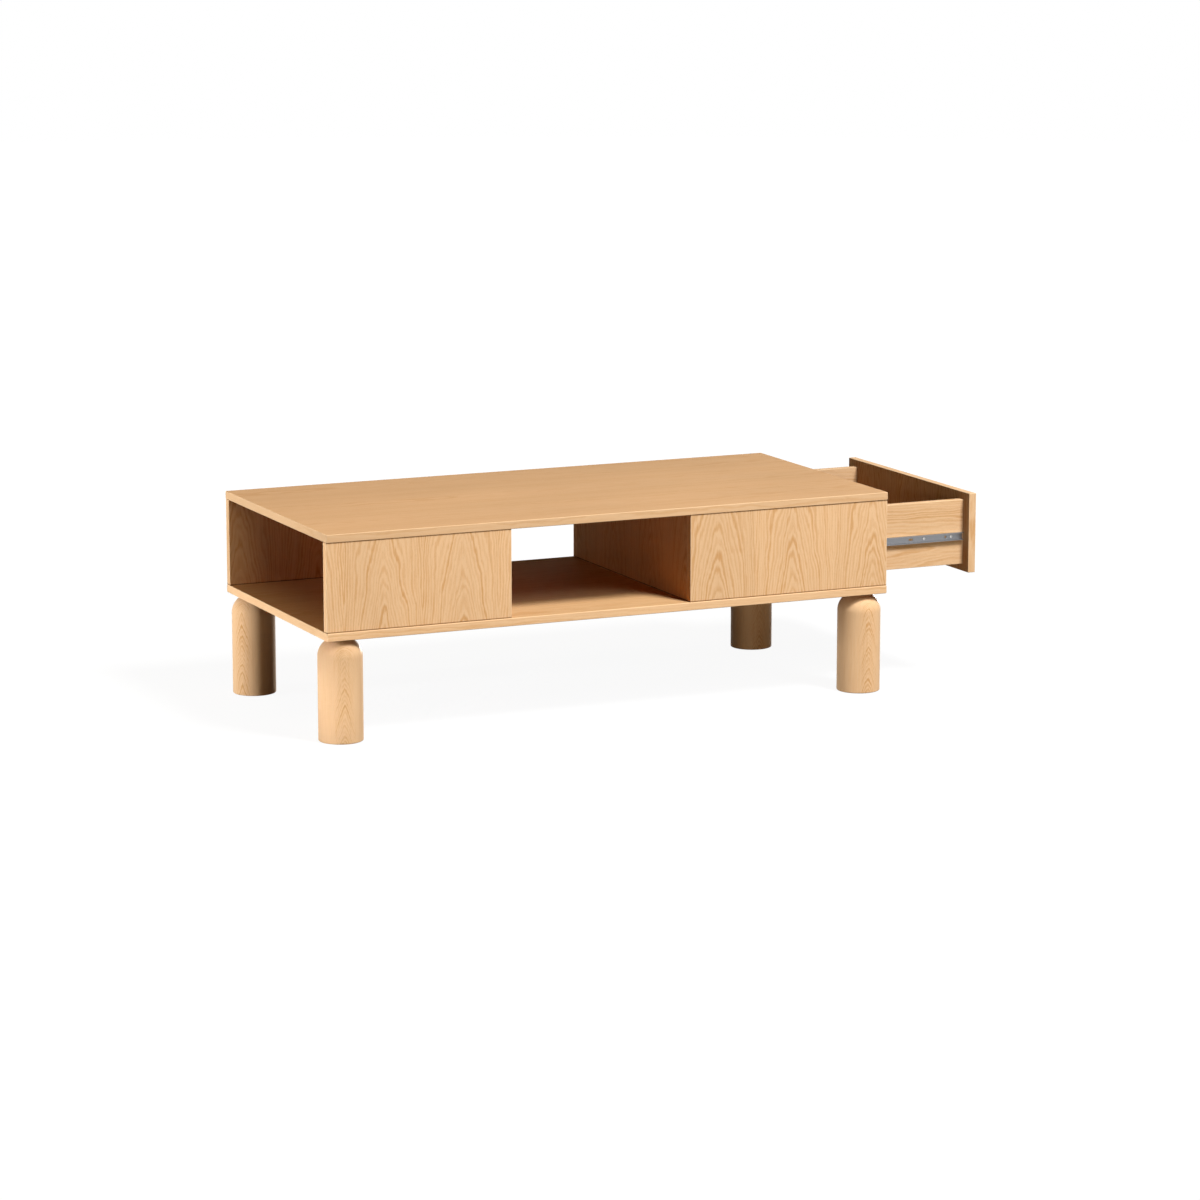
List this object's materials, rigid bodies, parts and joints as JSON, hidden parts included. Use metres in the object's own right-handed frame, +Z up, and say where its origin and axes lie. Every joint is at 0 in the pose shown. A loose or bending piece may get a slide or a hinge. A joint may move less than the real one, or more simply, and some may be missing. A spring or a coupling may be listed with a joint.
{
  "type": "coffee table",
  "caption": "Low oak coffee table on round domed legs, with an open middle, a cubby at its left end and a handleless drawer on ball slides at its right end.",
  "frame": {"origin": "on the floor under the middle of the carcass, midway between the legs", "axes": "+X along the table towards the drawer end, -Y the front, +Z up"},
  "size_m": [1.4175, 0.57, 0.408],
  "materials": {
    "oak_veneer_along": "light oak veneer, grain along the table, satin lacquer",
    "oak_veneer_upright": "light oak veneer, upright cathedral grain, satin lacquer",
    "oak_turned": "turned light oak, upright grain, satin lacquer",
    "oak_drawer": "light oak veneer, grain along each board, satin lacquer",
    "oak_ply": "oak-faced plywood, satin",
    "beech": "bare beech",
    "galvanised_rail": "galvanised sheet steel",
    "zinc_steel": "zinc-plated steel",
    "cage_steel": "plain sheet steel",
    "ball_steel": "polished steel",
    "felt": "brown felt",
    "latch_plastic": "grey moulded plastic",
    "latch_rubber": "black rubber"
  },
  "bodies": {
    "carcass": {"top_panel": "oak_veneer_along", "bottom_panel": "oak_veneer_along", "left_front_panel": "oak_veneer_upright", "left_rear_panel": "oak_veneer_upright", "left_divider": "oak_veneer_upright", "right_front_panel": "oak_veneer_upright", "right_rear_panel": "oak_veneer_upright", "right_divider": "oak_veneer_upright", "leg_front_left": "oak_turned", "leg_front_right": "oak_turned", "leg_rear_left": "oak_turned", "leg_rear_right": "oak_turned", "foot_pads": "felt", "leg_inserts": "zinc_steel", "leg_bolts": "zinc_steel", "top_dowels": "beech", "bottom_dowels": "beech", "divider_dowels": "beech", "slide_batten_front": "beech", "slide_batten_rear": "beech", "batten_screws": "zinc_steel", "cabinet_rail_front": "galvanised_rail", "cabinet_rail_rear": "galvanised_rail", "cabinet_rail_screws": "zinc_steel", "push_latch_housing": "latch_plastic", "push_latch_screws": "zinc_steel", "push_latch_spring": "zinc_steel"},
    "drawer": {"drawer_face": "oak_drawer", "drawer_side_front": "oak_drawer", "drawer_side_rear": "oak_drawer", "drawer_back": "oak_drawer", "drawer_bottom": "oak_ply", "drawer_face_dowels": "beech", "drawer_back_dowels": "beech", "drawer_rail_front": "galvanised_rail", "drawer_rail_rear": "galvanised_rail", "drawer_rail_screws": "zinc_steel"},
    "front_cage": {"ball_cage_front": "cage_steel", "slide_balls_front": "ball_steel"},
    "rear_cage": {"ball_cage_rear": "cage_steel", "slide_balls_rear": "ball_steel"},
    "plunger": {"push_latch_plunger": "latch_plastic", "push_latch_tip": "latch_rubber"}
  },
  "joints": [
    {"name": "drawer_slide", "type": "slide", "parent": "carcass", "child": "drawer", "axis": [1, 0, 0], "range_m": [-0.215, 0.045]},
    {"name": "front_cage_roll", "type": "slide", "parent": "carcass", "child": "front_cage", "axis": [1, 0, 0], "range_m": [-0.1075, 0.0225]},
    {"name": "rear_cage_roll", "type": "slide", "parent": "carcass", "child": "rear_cage", "axis": [1, 0, 0], "range_m": [-0.1075, 0.0225]},
    {"name": "plunger_press", "type": "slide", "parent": "carcass", "child": "plunger", "axis": [1, 0, 0], "range_m": [-0.003, 0], "stiffness_N_per_m": 200, "deforming": ["push_latch_spring"]}
  ],
  "couplings": [
    {"joint": "front_cage_roll", "follows": "drawer_slide", "ratio": 0.5},
    {"joint": "rear_cage_roll", "follows": "drawer_slide", "ratio": 0.5}
  ]
}
